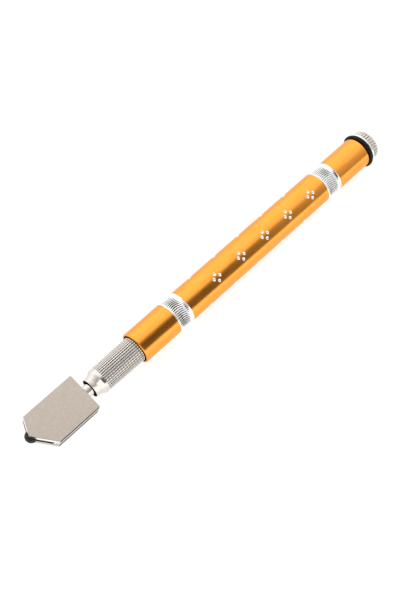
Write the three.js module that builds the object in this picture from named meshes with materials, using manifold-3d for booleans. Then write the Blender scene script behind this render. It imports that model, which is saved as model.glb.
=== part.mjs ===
// Oil-fed glass cutter: a knurled collar and a tube handle with a swivelling, sprung cutting head.
// Millimetres. The tool's axis is level along +X, head towards -X, and the head's plates lie flat in XY.
// The tool lies on its tail seal, so the origin is the middle of the bounding box at the table's height.

import * as THREE from "three";
import { mergeVertices } from "three/addons/utils/BufferGeometryUtils.js";
import Module from "manifold-3d";

const wasm = await Module();
wasm.setup();

// ---------------------------------------------------------------- driving dimensions
// Stations along the tool are measured from the barrel's front rim, positive towards the tail.

const barrelLength = 115.7;
const barrelRadius = 6.0;
const barrelWall = 1.0;
const barrelLip = 0.35;          // bevel on both rims
const barrelMouthStep = 0.4;     // counterbore over the bore, which shows as a dark ring round the collar
const barrelMouthDepth = 1.6;

const frontBandStart = 16.0;
const frontBandLength = 6.2;
const rearBandStart = 92.65;
const rearBandLength = 6.85;
const bandRecess = 0.15;
const fluteCount = 48;
const fluteDepth = 0.3;
const fluteWidth = 0.6;
const fluteSlant = 14;           // degrees off the tool's axis
const fluteMargin = 0.7;         // plain border at each end of the flutes

const dimpleRows = 4;
const clustersPerRow = 5;
const clusterPitch = 12.13;
const clusterStart = 36.8;
const clusterRadius = 1.4;
const dimpleRadius = 0.65;
const dimpleDepth = 0.25;
const dimpleRoll = 11.5;         // degrees from the top of the tool towards -Y

const collarExposed = 20.4;
const collarInsert = 12.0;
const collarStep = 0.13;         // collar's outside under the barrel's bore
const collarTaper = 0.22;        // fall in radius along the knurl
const collarMouthGap = 0.55;     // round the stem at the mouth
const collarMouthRim = 0.72;
const collarMouthDepth = 1.1;    // dished mouth in front of the lip
const collarMouthEdge = 0.25;    // thin rim round the dished mouth
const collarNeck = 1.6;          // nearly straight nose behind the mouth
const collarNeckRise = 0.15;
const collarMouthBevel = 0.1;
const collarChamfer = 3.5;       // mouth to the cone's wide end
const collarEdge = 1.2;          // plain stretch between the cone and the knurl
const collarShoulder = 1.7;      // lip at the mouth that keeps the guide bush in
const collarTeeth = 36;
const knurlDepth = 0.25;
const noseSealWidth = 1.8;
const noseSealGroove = 0.9;
const noseSealInset = 2.0;       // from the collar's rear end
const noseSealCrest = 0.6;

const stemRadius = 2.2;
const stemBehindMouth = 12.3;    // how far the shank reaches into the collar
const stemGap = 2.5;             // head's back edge to the collar's mouth
const tenonRadius = 1.6;
const tenonLength = 7.0;
const oilBoreRadius = 0.9;
const outletRadius = 0.5;

const bushLength = 5.0;
const bushWall = 0.65;
const glandSealLength = 1.2;
const glandSealCrest = 0.4;
const glandWasherLength = 0.6;
const clipThickness = 0.7;
const clipGrooveDepth = 0.45;
const clipGapHalf = 32;          // degrees, half the clip's open mouth
const clipArcSteps = 16;

const valveStemRadius = 0.6;
const valveStemHeadRadius = 1.2;
const valveStemHeadLength = 0.5;
const thrustWasherLength = 0.7;
const washerNotchDepth = 0.7;
const washerNotchHalf = 14;      // degrees, half of a notch
const washerNotches = 4;
const washerArcSteps = 6;
const springLength = 9.2;
const springWire = 0.25;         // radius of the wire
const springTurns = 7;
const springStepsPerTurn = 11;
const springSideSteps = 3;       // steps for each quarter of the wire's section
const seatLength = 7.0;
const orificeRadius = 1.05;
const poppetRadius = 2.3;
const poppetLength = 1.4;
const poppetChamfer = 0.5;
const stemNutRadius = 1.4;
const stemNutLength = 1.0;

const headWidth = 13.8;
const headLength = 23.0;         // back edge to the plates' apex
const headLongSide = 20.2;       // on the +Y side
const headShortSide = 17.0;      // on the -Y side
const apexOffset = 1.0;          // apex towards +Y
const plateThickness = 2.5;
const coreThickness = 1.7;
const coreArm = 1.6;
const slotDepth = 12.8;          // from the apex
const dowelRadius = 0.45;
const dowelDepth = 1.4;          // into each plate
const dowelInsetBack = 2.4;
const dowelInsetFront = 15.4;
const axleRadius = 0.5;
const axleDepth = 1.5;

const wheelRadius = 2.2;
const wheelThickness = 1.3;
const wheelEdge = 0.5;           // height of the ground cutting bevel
const wheelProtrusion = 1.07;

const sealProud = 0.75;          // over the barrel
const sealLength = 1.3;
const sealCrest = 0.7;           // flat that the tail seal lies on
const sealShoulder = 0.3;        // share of a seal's thickness that its corners take
const studPilotStep = 0.65;      // under the thread
const studPilotLength = 3.0;
const studThreadLength = 4.0;
const stubRadius = 2.4;
const stubLength = 3.2;
const knobFlangeProud = 0.5;     // over the barrel
const knobFlangeLength = 0.7;
const knobFlangeBevel = 0.2;
const knobNeck = 0.25;
const knobStep = 0.1;            // knurl under the barrel's outside
const knobKnurlLength = 1.95;
const knobDome = 2.8;
const knobTeeth = 32;

// Named clearances.
const slipGap = 0.15;            // round pieces that slide or turn in a bore
const fixedGap = 0.1;            // round pieces fixed in a bore
const faceGap = 0.3;             // end faces that meet
const pressGap = 0.2;            // end faces that press on each other in use
const seam = 0.15;               // head plates to the core between them
const springGap = 0.5;           // coils to the collar's bore
const clipGap = 0.3;             // clip to the collar's bore
const wickGap = 0.25;            // wick to the oil bore

// Sides of the round pieces.
const roundSides = 48;
const smallSides = 24;
const pinSides = 12;
const nutSides = 6;
const wheelSides = 36;
const dimpleSides = 8;
const tailSealSides = 16;        // wide flats, as soft rubber has where it rests

const overrun = 1.0;             // how far a cutter runs past the face it opens
const mergeDistance = 1e-4;

// ---------------------------------------------------------------- derived stations

const boreRadius = barrelRadius - barrelWall;
const barrelMouthRadius = boreRadius + barrelMouthStep;
const collarBore = stemRadius + slipGap + bushWall + fixedGap;
const collarMouthBore = stemRadius + collarMouthGap;
const collarMouthRadius = collarMouthBore + collarMouthRim;
const collarRadius = boreRadius - collarStep;
const collarFrontRadius = collarRadius - collarTaper;
const springRadius = collarBore - springGap - springWire;
const wickRadius = oilBoreRadius - wickGap;
const clipRadius = collarBore - clipGap;
const clipGrooveRadius = stemRadius - clipGrooveDepth;
const sealRadius = barrelRadius + sealProud;
const knobFlangeRadius = barrelRadius + knobFlangeProud;
const knobRadius = barrelRadius - knobStep;
const collarMouth = -collarExposed;
const headBack = collarMouth - stemGap;
const apex = headBack - headLength;
const wheelTip = apex - wheelProtrusion;
const wheelCentre = wheelTip + wheelRadius;
const slotFloor = apex + slotDepth;

const shankRear = collarMouth + stemBehindMouth;
const bushFront = collarMouth + collarShoulder + faceGap;
const bushRear = bushFront + bushLength;
const glandSealFront = bushRear + faceGap;
const glandWasherFront = glandSealFront + glandSealLength + faceGap;
const clipFront = glandWasherFront + glandWasherLength + faceGap;

const stemHeadFront = shankRear + pressGap;
const thrustWasherFront = stemHeadFront + valveStemHeadLength + pressGap;
const springFront = thrustWasherFront + thrustWasherLength + faceGap;
const springRear = springFront + springLength;
const seatFront = springRear + faceGap;
const seatRear = seatFront + seatLength;
const poppetFront = seatRear + faceGap;
const stemNutFront = poppetFront + poppetLength + pressGap;
const valveStemRear = stemNutFront + stemNutLength + pressGap;

const sealFront = barrelLength + pressGap;
const sealRear = sealFront + sealLength;
const knobFront = sealRear + pressGap;
const knobKnurlFront = knobFront + knobFlangeLength + knobNeck;
const knobDomeFront = knobKnurlFront + knobKnurlLength;
const tailEnd = knobDomeFront + knobDome;
const studRadius = boreRadius - slipGap;
const studPilotRadius = studRadius - studPilotStep;
const studThreadFront = barrelLength - studThreadLength;

// ---------------------------------------------------------------- materials

function finish(color, roughness, metalness) {
  return new THREE.MeshStandardMaterial({ color, roughness, metalness });
}

const goldAnodised = finish(0xf0a83c, 0.32, 0.9);
const brightNickel = finish(0xd9d6d0, 0.22, 1.0);
const satinNickel = finish(0xcfc4b6, 0.42, 0.95);
const steel = finish(0xb9babd, 0.3, 1.0);
const springSteel = finish(0x9fa3a8, 0.3, 1.0);
const brass = finish(0xc9a24a, 0.3, 1.0);
const carbide = finish(0x2b2b2d, 0.35, 0.8);
const blackRubber = finish(0x151515, 0.65, 0.0);
const felt = finish(0xe6ddc8, 0.95, 0.0);

// ---------------------------------------------------------------- shape helpers

const degrees = (angle) => THREE.MathUtils.degToRad(angle);

/** Closed profile of a ring: outer steps front to rear, then the bore rear to front. */
function ringProfile(outer, bore) {
  const loop = [...outer, ...[...bore].reverse()];
  return [...loop, loop[0]];
}

/**
 * Turned piece about the tool's axis from [station, radius, tooth] points, with flats facing up and down.
 * A point's tooth is how far every second line of the surface is pulled in there, which makes axial teeth.
 */
function turned(profile, sides = roundSides) {
  const points = profile.map(([station, radius]) => new THREE.Vector2(radius, station));
  const geometry = new THREE.LatheGeometry(points, sides, Math.PI / sides);
  const position = geometry.getAttribute("position");
  for (let index = 0; index < position.count; index += 1) {
    const [, radius, tooth = 0] = profile[index % profile.length];
    const line = Math.floor(index / profile.length);
    if (line % 2 === 0 || tooth === 0) continue;
    const scale = (radius - tooth) / radius;
    position.setX(index, position.getX(index) * scale);
    position.setZ(index, position.getZ(index) * scale);
  }
  return geometry.rotateZ(-Math.PI / 2);
}

/** Plain ring between two stations. */
function ring(front, rear, outerRadius, innerRadius, sides = roundSides) {
  return turned(ringProfile([[front, outerRadius], [rear, outerRadius]],
    [[front, innerRadius], [rear, innerRadius]]), sides);
}

/** Ring with an eight-cornered section and a flat crest, for a rubber seal. Its radii are over the flats. */
function sealRing(front, rear, outerRadius, innerRadius, crest, sides = smallSides) {
  const middle = (front + rear) / 2;
  const shoulder = (outerRadius - innerRadius) * sealShoulder;
  const overCorners = ([station, radius]) => [station, radius / Math.cos(Math.PI / sides)];
  const outer = [
    [front, outerRadius - shoulder],
    [middle - crest / 2, outerRadius],
    [middle + crest / 2, outerRadius],
    [rear, outerRadius - shoulder],
  ];
  const bore = [
    [front, innerRadius + shoulder],
    [middle - crest / 2, innerRadius],
    [middle + crest / 2, innerRadius],
    [rear, innerRadius + shoulder],
  ];
  return turned(ringProfile(outer, bore).map(overCorners), sides);
}

/** Rod along the tool's axis. */
function rod(front, rear, radius, sides = smallSides) {
  return turned([[front, 0], [front, radius], [rear, radius], [rear, 0]], sides);
}

/** Pin square to the head's plates. */
function uprightPin(x, y, radius, halfHeight, sides = pinSides) {
  return new THREE.CylinderGeometry(radius, radius, 2 * halfHeight, sides)
    .rotateX(Math.PI / 2)
    .translate(x, y, 0);
}

/** Flat piece cut to an outline in XY, from one height to another. */
function flat(outline, bottom, top) {
  return new THREE.ExtrudeGeometry(outline, { depth: top - bottom, bevelEnabled: false })
    .translate(0, 0, bottom);
}

/** Solid of a closed geometry, for cutting. */
function solid(geometry) {
  const bare = geometry.clone();
  bare.deleteAttribute("normal");
  bare.deleteAttribute("uv");
  const merged = mergeVertices(bare, mergeDistance);
  return new wasm.Manifold(new wasm.Mesh({
    numProp: 3,
    vertProperties: new Float32Array(merged.getAttribute("position").array),
    triVerts: new Uint32Array(merged.index.array),
  }));
}

/** Geometry that is left when the cutters are taken away from the blank. */
function cut(blank, cutters) {
  const left = cutters.reduce((body, cutter) => body.subtract(solid(cutter)), solid(blank));
  const mesh = left.getMesh();
  const geometry = new THREE.BufferGeometry();
  geometry.setAttribute("position", new THREE.BufferAttribute(new Float32Array(mesh.vertProperties), 3));
  geometry.setIndex(new THREE.BufferAttribute(new Uint32Array(mesh.triVerts), 1));
  geometry.computeVertexNormals();
  return geometry;
}

// ---------------------------------------------------------------- handle

const bands = [
  [frontBandStart, frontBandStart + frontBandLength],
  [rearBandStart, rearBandStart + rearBandLength],
];

/** Tube with two recessed bands and bevelled rims. */
function barrelBlank() {
  const bandSteps = bands.flatMap(([start, end]) => [
    [start, barrelRadius],
    [start + bandRecess, barrelRadius - bandRecess],
    [end - bandRecess, barrelRadius - bandRecess],
    [end, barrelRadius],
  ]);
  const outer = [
    [0, barrelRadius - barrelLip],
    [barrelLip, barrelRadius],
    ...bandSteps,
    [barrelLength - barrelLip, barrelRadius],
    [barrelLength, barrelRadius - barrelLip],
  ];
  const bore = [
    [0, barrelMouthRadius],
    [barrelMouthDepth, barrelMouthRadius],
    [barrelMouthDepth, boreRadius],
    [barrelLength, boreRadius],
  ];
  return turned(ringProfile(outer, bore));
}

/** Pointed V cutters round one band, each slanted off the axis. */
function fluteCutters([start, end]) {
  const length = end - start - 2 * fluteMargin;
  const cutters = [];
  for (let index = 0; index < fluteCount; index += 1) {
    const turn = (index / fluteCount) * 2 * Math.PI;
    cutters.push(new THREE.OctahedronGeometry(1)
      .scale(length / 2, fluteWidth / 2, fluteDepth)
      .rotateZ(degrees(fluteSlant))
      .translate((start + end) / 2, 0, (barrelRadius - bandRecess) * Math.cos(Math.PI / roundSides))
      .rotateX(turn));
  }
  return cutters;
}

/** Round dimples in fours, in staggered rows round the barrel, each half of a cone whose tip points in. */
function dimpleCutters() {
  const around = clusterRadius / barrelRadius;
  const offsets = [[-clusterRadius, 0], [clusterRadius, 0], [0, -around], [0, around]];
  const cutters = [];
  for (let row = 0; row < dimpleRows; row += 1) {
    const turn = degrees(dimpleRoll) + (row / dimpleRows) * 2 * Math.PI;
    const stagger = (row % 2) * (clusterPitch / 2);
    for (let cluster = 0; cluster < clustersPerRow; cluster += 1) {
      const station = clusterStart - stagger + cluster * clusterPitch;
      for (const [along, angle] of offsets) {
        cutters.push(new THREE.ConeGeometry(2 * dimpleRadius, 2 * dimpleDepth, dimpleSides)
          .rotateX(-Math.PI / 2)
          .translate(station + along, 0, barrelRadius)
          .rotateX(turn + angle));
      }
    }
  }
  return cutters;
}

function barrel() {
  return cut(barrelBlank(), [...bands.flatMap(fluteCutters), ...dimpleCutters()]);
}

// ---------------------------------------------------------------- nose collar and what it holds

const spigotRadius = boreRadius - slipGap;
const noseSealRear = collarInsert - noseSealInset;
const noseSealFront = noseSealRear - noseSealWidth;
const noseSealFloor = spigotRadius - noseSealGroove;

function noseCollar() {
  const chamferEnd = collarMouth + collarChamfer;
  const outer = [
    [collarMouth, collarMouthRadius - collarMouthBevel],
    [collarMouth + collarMouthBevel, collarMouthRadius],
    [collarMouth + collarNeck, collarMouthRadius + collarNeckRise],
    [chamferEnd, collarFrontRadius],
    [chamferEnd + collarEdge, collarFrontRadius, knurlDepth],
    [0, collarRadius, knurlDepth],
    [barrelMouthDepth - faceGap, collarRadius],
    [barrelMouthDepth, spigotRadius],
    [noseSealFront - fixedGap, spigotRadius],
    [noseSealFront - fixedGap, noseSealFloor],
    [noseSealRear + fixedGap, noseSealFloor],
    [noseSealRear + fixedGap, spigotRadius],
    [collarInsert, spigotRadius],
  ];
  const bore = [
    [collarMouth, collarMouthRadius - collarMouthEdge],
    [collarMouth + collarMouthDepth, collarMouthRadius - collarMouthEdge],
    [collarMouth + collarMouthDepth, collarMouthBore],
    [collarMouth + collarShoulder, collarMouthBore],
    [collarMouth + collarShoulder, collarBore],
    [collarInsert, collarBore],
  ];
  return turned(ringProfile(outer, bore), 2 * collarTeeth);
}

const noseSeal = () => sealRing(noseSealFront, noseSealRear,
  boreRadius - fixedGap, noseSealFloor + fixedGap, noseSealCrest);

const guideBush = () => ring(bushFront, bushRear, collarBore - fixedGap, stemRadius + slipGap, smallSides);

const glandSeal = () => sealRing(glandSealFront, glandSealFront + glandSealLength,
  collarBore - fixedGap, stemRadius + slipGap, glandSealCrest);

const glandWasher = () => ring(glandWasherFront, glandWasherFront + glandWasherLength,
  collarBore - fixedGap, stemRadius + slipGap, smallSides);

const valveSeat = () => ring(seatFront, seatRear, collarBore - fixedGap, orificeRadius, smallSides);

/** Helix of the return spring along the tool's axis. */
class SpringCurve extends THREE.Curve {
  getPoint(t, target = new THREE.Vector3()) {
    const turn = t * springTurns * 2 * Math.PI;
    const station = THREE.MathUtils.lerp(springFront + springWire, springRear - springWire, t);
    return target.set(station, springRadius * Math.sin(turn), springRadius * Math.cos(turn));
  }
}

function returnSpring() {
  const section = new THREE.Shape();
  section.absarc(0, 0, springWire, 0, 2 * Math.PI, false);
  return new THREE.ExtrudeGeometry(section, {
    extrudePath: new SpringCurve(),
    steps: springTurns * springStepsPerTurn,
    curveSegments: springSideSteps,
    bevelEnabled: false,
  });
}

// ---------------------------------------------------------------- valve, which the shank pushes open

/** Washer with notches in its rim that let oil past. */
function thrustWasher() {
  const outerRadius = collarBore - slipGap;
  const notchRadius = outerRadius - washerNotchDepth;
  const notchHalf = degrees(washerNotchHalf);
  const notchPitch = (2 * Math.PI) / washerNotches;
  const outline = new THREE.Shape();
  for (let index = 1; index <= washerNotches; index += 1) {
    const notch = index * notchPitch;
    outline.absarc(0, 0, outerRadius, notch - notchPitch + notchHalf, notch - notchHalf, false);
    outline.absarc(0, 0, notchRadius, notch - notchHalf, notch + notchHalf, false);
  }
  const hole = new THREE.Path();
  hole.absarc(0, 0, valveStemRadius + fixedGap, 0, 2 * Math.PI, true);
  outline.holes.push(hole);
  return new THREE.ExtrudeGeometry(outline, {
    depth: thrustWasherLength,
    curveSegments: washerArcSteps,
    bevelEnabled: false,
  })
    .rotateY(Math.PI / 2)
    .translate(thrustWasherFront, 0, 0);
}

function valveStem() {
  return turned([
    [stemHeadFront, 0],
    [stemHeadFront, valveStemHeadRadius],
    [stemHeadFront + valveStemHeadLength, valveStemHeadRadius],
    [stemHeadFront + valveStemHeadLength, valveStemRadius],
    [valveStemRear, valveStemRadius],
    [valveStemRear, 0],
  ], smallSides);
}

/** Rubber poppet with a coned front that closes the seat's orifice. */
function valvePoppet() {
  const outer = [
    [poppetFront, poppetRadius - poppetChamfer],
    [poppetFront + poppetChamfer, poppetRadius],
    [poppetFront + poppetLength, poppetRadius],
  ];
  const bore = [
    [poppetFront, valveStemRadius + fixedGap],
    [poppetFront + poppetLength, valveStemRadius + fixedGap],
  ];
  return turned(ringProfile(outer, bore), smallSides);
}

const stemNut = () => ring(stemNutFront, stemNutFront + stemNutLength, stemNutRadius,
  valveStemRadius + fixedGap, nutSides);

// ---------------------------------------------------------------- head

/** Bored stem with a tenon into the head and a groove for its clip. */
function shank() {
  const outer = [
    [headBack - tenonLength, tenonRadius],
    [headBack + faceGap, tenonRadius],
    [headBack + faceGap, stemRadius],
    [clipFront - fixedGap, stemRadius],
    [clipFront - fixedGap, clipGrooveRadius],
    [clipFront + clipThickness + fixedGap, clipGrooveRadius],
    [clipFront + clipThickness + fixedGap, stemRadius],
    [shankRear, stemRadius],
  ];
  const bore = [
    [headBack - tenonLength, oilBoreRadius],
    [shankRear, oilBoreRadius],
  ];
  return turned(ringProfile(outer, bore), smallSides);
}

/** Open ring that snaps into the shank's groove. */
function shankClip() {
  const gapHalf = degrees(clipGapHalf);
  const innerRadius = clipGrooveRadius + fixedGap;
  const outline = new THREE.Shape();
  outline.absarc(0, 0, clipRadius, gapHalf, 2 * Math.PI - gapHalf, false);
  outline.absarc(0, 0, innerRadius, 2 * Math.PI - gapHalf, gapHalf, true);
  return new THREE.ExtrudeGeometry(outline, {
    depth: clipThickness,
    curveSegments: clipArcSteps,
    bevelEnabled: false,
  })
    .rotateY(Math.PI / 2)
    .translate(clipFront, 0, 0);
}

const wick = () => rod(headBack - tenonLength + faceGap, shankRear - faceGap, wickRadius, pinSides);

/** Five-cornered outline of the head, with its apex off the tool's axis. */
function headCorners() {
  const side = headWidth / 2;
  return {
    backRight: new THREE.Vector2(headBack, -side),
    backLeft: new THREE.Vector2(headBack, side),
    frontLeft: new THREE.Vector2(headBack - headLongSide, side),
    apex: new THREE.Vector2(apex, apexOffset),
    frontRight: new THREE.Vector2(headBack - headShortSide, -side),
  };
}

function plateOutline() {
  const corner = headCorners();
  return new THREE.Shape([
    corner.backRight,
    corner.backLeft,
    corner.frontLeft,
    corner.apex,
    corner.frontRight,
  ]);
}

/** Point where the slanted front edge from the apex to a front corner passes a given Y. */
function onFrontEdge(corner, apexPoint, y) {
  const share = (y - apexPoint.y) / (corner.y - apexPoint.y);
  return new THREE.Vector2(THREE.MathUtils.lerp(apexPoint.x, corner.x, share), y);
}

/** U outline of the core: a bridge at the back and an arm down each side, open at the front. */
function coreOutline() {
  const corner = headCorners();
  const inner = headWidth / 2 - coreArm;
  return new THREE.Shape([
    corner.backRight,
    corner.backLeft,
    corner.frontLeft,
    onFrontEdge(corner.frontLeft, corner.apex, inner),
    new THREE.Vector2(slotFloor, inner),
    new THREE.Vector2(slotFloor, -inner),
    onFrontEdge(corner.frontRight, corner.apex, -inner),
    corner.frontRight,
  ]);
}

const coreHalf = coreThickness / 2;
const plateInside = coreHalf + seam;
const plateOutside = plateInside + plateThickness;
const dowelY = headWidth / 2 - coreArm / 2;
const dowelPlaces = [
  [headBack - dowelInsetBack, dowelY],
  [headBack - dowelInsetBack, -dowelY],
  [headBack - dowelInsetFront, dowelY],
  [headBack - dowelInsetFront, -dowelY],
];

const dowelHalf = plateInside + dowelDepth;
const axleHalf = plateInside + axleDepth;
const tenonHole = () => rod(headBack - tenonLength - faceGap, headBack + overrun, tenonRadius + fixedGap);
const dowelHoles = () => dowelPlaces.map(
  ([x, y]) => uprightPin(x, y, dowelRadius + fixedGap, dowelHalf + fixedGap));
const axleHole = () => uprightPin(wheelCentre, apexOffset, axleRadius + fixedGap, axleHalf + fixedGap);

function plate(bottom, top) {
  return cut(flat(plateOutline(), bottom, top), [tenonHole(), ...dowelHoles(), axleHole()]);
}

function spacerCore() {
  const outlet = rod(slotFloor - overrun, headBack - tenonLength, outletRadius, pinSides);
  return cut(flat(coreOutline(), -coreHalf, coreHalf), [tenonHole(), outlet, ...dowelHoles()]);
}

function dowel([x, y]) {
  return uprightPin(x, y, dowelRadius, dowelHalf);
}

const wheelAxle = () => uprightPin(wheelCentre, apexOffset, axleRadius, axleHalf, smallSides);

/** Disc with a V-ground rim and a bore, turning about an upright axle. */
function cuttingWheel() {
  const half = wheelThickness / 2;
  const bore = axleRadius + slipGap;
  const profile = [
    [bore, -half],
    [wheelRadius - wheelEdge, -half],
    [wheelRadius, 0],
    [wheelRadius - wheelEdge, half],
    [bore, half],
    [bore, -half],
  ];
  const points = profile.map(([radius, height]) => new THREE.Vector2(radius, height));
  return new THREE.LatheGeometry(points, wheelSides)
    .rotateX(Math.PI / 2)
    .translate(wheelCentre, apexOffset, 0);
}

// ---------------------------------------------------------------- tail

const tailSeal = () => sealRing(sealFront, sealRear,
  sealRadius, studRadius + slipGap, sealCrest, tailSealSides);

/** Plug with a pilot nose, a threaded stretch and a stub that the knob is fixed to. */
function capStud() {
  return turned([
    [studThreadFront - studPilotLength, 0],
    [studThreadFront - studPilotLength, studPilotRadius],
    [studThreadFront, studPilotRadius],
    [studThreadFront, studRadius],
    [sealRear, studRadius],
    [sealRear, stubRadius],
    [sealRear + stubLength, stubRadius],
    [sealRear + stubLength, 0],
  ]);
}

/** Knob with a flange, a knurled rim and a low dome, and a blind hole for the stud's stub. */
function capKnob() {
  const domeSteps = 4;
  const dome = [];
  for (let step = 1; step <= domeSteps; step += 1) {
    const angle = (step / domeSteps) * (Math.PI / 2);
    const radius = step === domeSteps ? 0 : knobRadius * Math.cos(angle);
    dome.push([knobDomeFront + knobDome * Math.sin(angle), radius]);
  }
  const holeRadius = stubRadius + fixedGap;
  const holeFloor = sealRear + stubLength + faceGap;
  const profile = [
    [holeFloor, 0],
    [holeFloor, holeRadius],
    [knobFront, holeRadius],
    [knobFront, knobFlangeRadius - knobFlangeBevel],
    [knobFront + knobFlangeBevel, knobFlangeRadius],
    [knobFront + knobFlangeLength, knobFlangeRadius],
    [knobFront + knobFlangeLength, knobRadius - knobNeck],
    [knobKnurlFront, knobRadius - knobNeck],
    [knobKnurlFront, knobRadius, knurlDepth],
    [knobDomeFront, knobRadius, knurlDepth],
    ...dome,
  ];
  return turned(profile, 2 * knobTeeth);
}

// ---------------------------------------------------------------- assembly

const group = new THREE.Group();
const tool = new THREE.Group();
tool.position.set(-(wheelTip + tailEnd) / 2, 0, sealRadius);
group.add(tool);

function add(name, geometry, material) {
  const mesh = new THREE.Mesh(geometry, material.clone());
  mesh.name = name;
  tool.add(mesh);
}

add("barrel", barrel(), goldAnodised);
add("nose_collar", noseCollar(), brightNickel);
add("nose_seal", noseSeal(), blackRubber);
add("guide_bush", guideBush(), brass);
add("gland_seal", glandSeal(), blackRubber);
add("gland_washer", glandWasher(), brass);
add("valve_seat", valveSeat(), brass);
add("return_spring", returnSpring(), springSteel);

add("thrust_washer", thrustWasher(), brass);
add("valve_stem", valveStem(), steel);
add("valve_poppet", valvePoppet(), blackRubber);
add("stem_nut", stemNut(), brass);

add("shank", shank(), brightNickel);
add("shank_clip", shankClip(), springSteel);
add("wick", wick(), felt);
add("upper_plate", plate(plateInside, plateOutside), satinNickel);
add("spacer_core", spacerCore(), satinNickel);
add("lower_plate", plate(-plateOutside, -plateInside), satinNickel);
dowelPlaces.forEach((place, index) => add(`head_dowel_${index + 1}`, dowel(place), steel));
add("wheel_axle", wheelAxle(), steel);
add("cutting_wheel", cuttingWheel(), carbide);

add("tail_seal", tailSeal(), blackRubber);
add("cap_stud", capStud(), brass);
add("cap_knob", capKnob(), brightNickel);

export default group;
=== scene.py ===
"""Looks for the oil-fed glass cutter: fine surfaces, finishes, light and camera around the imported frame.

Sizes are millimetres until a mesh is made. A station is a distance along the tool from the barrel's front
rim, positive towards the tail. An angle round the tool is measured from the top towards -Y.
"""

import math

import bmesh
import bpy
import numpy as np
from mathutils import Matrix, Vector


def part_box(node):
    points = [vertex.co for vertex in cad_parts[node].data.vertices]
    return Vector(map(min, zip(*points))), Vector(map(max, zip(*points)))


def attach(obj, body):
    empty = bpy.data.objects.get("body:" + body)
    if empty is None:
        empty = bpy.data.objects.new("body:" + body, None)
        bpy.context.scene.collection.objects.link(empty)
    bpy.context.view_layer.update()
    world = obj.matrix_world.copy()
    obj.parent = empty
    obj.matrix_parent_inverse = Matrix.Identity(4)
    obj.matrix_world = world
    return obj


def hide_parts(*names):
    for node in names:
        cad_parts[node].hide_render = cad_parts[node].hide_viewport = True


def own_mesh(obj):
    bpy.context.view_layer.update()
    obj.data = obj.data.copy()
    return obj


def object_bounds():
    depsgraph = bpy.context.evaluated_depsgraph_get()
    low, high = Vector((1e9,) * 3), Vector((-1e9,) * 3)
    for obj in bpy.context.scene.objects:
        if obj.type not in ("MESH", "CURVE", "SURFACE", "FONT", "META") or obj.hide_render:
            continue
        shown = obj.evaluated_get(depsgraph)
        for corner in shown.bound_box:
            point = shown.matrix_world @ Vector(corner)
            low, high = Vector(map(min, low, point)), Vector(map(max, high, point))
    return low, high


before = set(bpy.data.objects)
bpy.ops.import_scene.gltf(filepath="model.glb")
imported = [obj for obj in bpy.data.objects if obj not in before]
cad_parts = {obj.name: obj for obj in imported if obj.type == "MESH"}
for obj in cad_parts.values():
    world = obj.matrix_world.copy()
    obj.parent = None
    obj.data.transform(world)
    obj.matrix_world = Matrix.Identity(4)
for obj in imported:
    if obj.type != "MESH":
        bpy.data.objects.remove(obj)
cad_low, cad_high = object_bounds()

MM = 0.001
TURN = 2 * math.pi

# ------------------------------------------------------------------------------- places from the frame


def stations(node):
    """First and last station of a CAD node."""
    low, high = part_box(node)
    return low.x / MM - FRONT, high.x / MM - FRONT


def half_width(node):
    """Half of a CAD node's size across the tool, which is the radius of a turned one."""
    low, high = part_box(node)
    return (high.y - low.y) / 2 / MM


def heights(node):
    """Lowest and highest point of a CAD node, measured from the tool's axis."""
    low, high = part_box(node)
    return low.z / MM - AXIS_Z, high.z / MM - AXIS_Z


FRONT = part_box("barrel")[0].x / MM
AXIS_Z = (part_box("barrel")[0].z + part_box("barrel")[1].z) / 2 / MM

# ------------------------------------------------------------------------------- sizes, millimetres

BARREL_RADIUS = half_width("barrel")
BARREL_END = stations("barrel")[1]
BARREL_WALL = 1.0
BARREL_LIP = 0.35
MOUTH_STEP = 0.4
MOUTH_DEPTH = 1.6
RIM_BREAK = 0.1                 # small chamfer on the barrel's inner edges

BANDS = ((16.0, 22.2), (92.65, 99.5))
BAND_RECESS = 0.15
BAND_EDGE = 0.06                # rounding of the steps down into a band
BAND_BORDERS = (0.2, 1.1)       # plain ring in front of the flutes and behind them
BAND_ROWS = 45
BAND_MARGIN = 1.0               # no dimple lies nearer to a band
FLUTES = 48
FLUTE_WIDTH = 0.62
FLUTE_DEPTH = 0.16
FLUTE_SHADE = 0.1               # depth below which a flute's faces get painted shade
FLUTE_SLANT = math.radians(8)
FLUTE_BOW = 0.62                # how far a flute's middle bends towards +Y
FLUTE_FULLNESS = 4              # higher keeps a flute deep nearer to its ends
FLUTE_NARROWING = 0.35          # how fast a flute narrows as it gets shallow

DIMPLE_ROWS = 4
CLUSTERS = 5
CLUSTER_PITCH = 12.13
CLUSTER_START = 36.8
CLUSTER_RADIUS = 1.4
DIMPLE_RADIUS = 0.6
DIMPLE_DEPTH = 0.24
DIMPLE_ROLL = math.radians(11.5)
BALL_RINGS, BALL_TURNS = 40, 48

COLLAR_MOUTH, COLLAR_END = stations("nose_collar")
COLLAR_MOUTH_RADIUS = 3.47
COLLAR_MOUTH_EDGE = 0.14        # thin rim round the dished mouth
COLLAR_MOUTH_DEPTH = 1.1
COLLAR_MOUTH_BORE = 2.75
COLLAR_NECK = 1.6               # nearly straight nose behind the mouth
COLLAR_NECK_RISE = 0.15
COLLAR_BEND = 0.15              # half the length of the soft bends of the cone
COLLAR_CONE_END = 3.5
COLLAR_KNURL_START = 4.7
COLLAR_FRONT_RADIUS = 4.65
COLLAR_RADIUS = 4.87
COLLAR_BORE = 3.1
COLLAR_SHOULDER = 1.7
COLLAR_TEETH = 36
COLLAR_RINGS = 15
TEETH_DEPTH = 0.25
RINGS_DEPTH = 0.13
KNURL_STEPS = 10                # rows to each ring of a knurl, and steps round to each tooth
SPIGOT_PLAY = 0.15              # room round the spigot in the barrel
SEAL_GROOVE = 0.9

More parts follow.
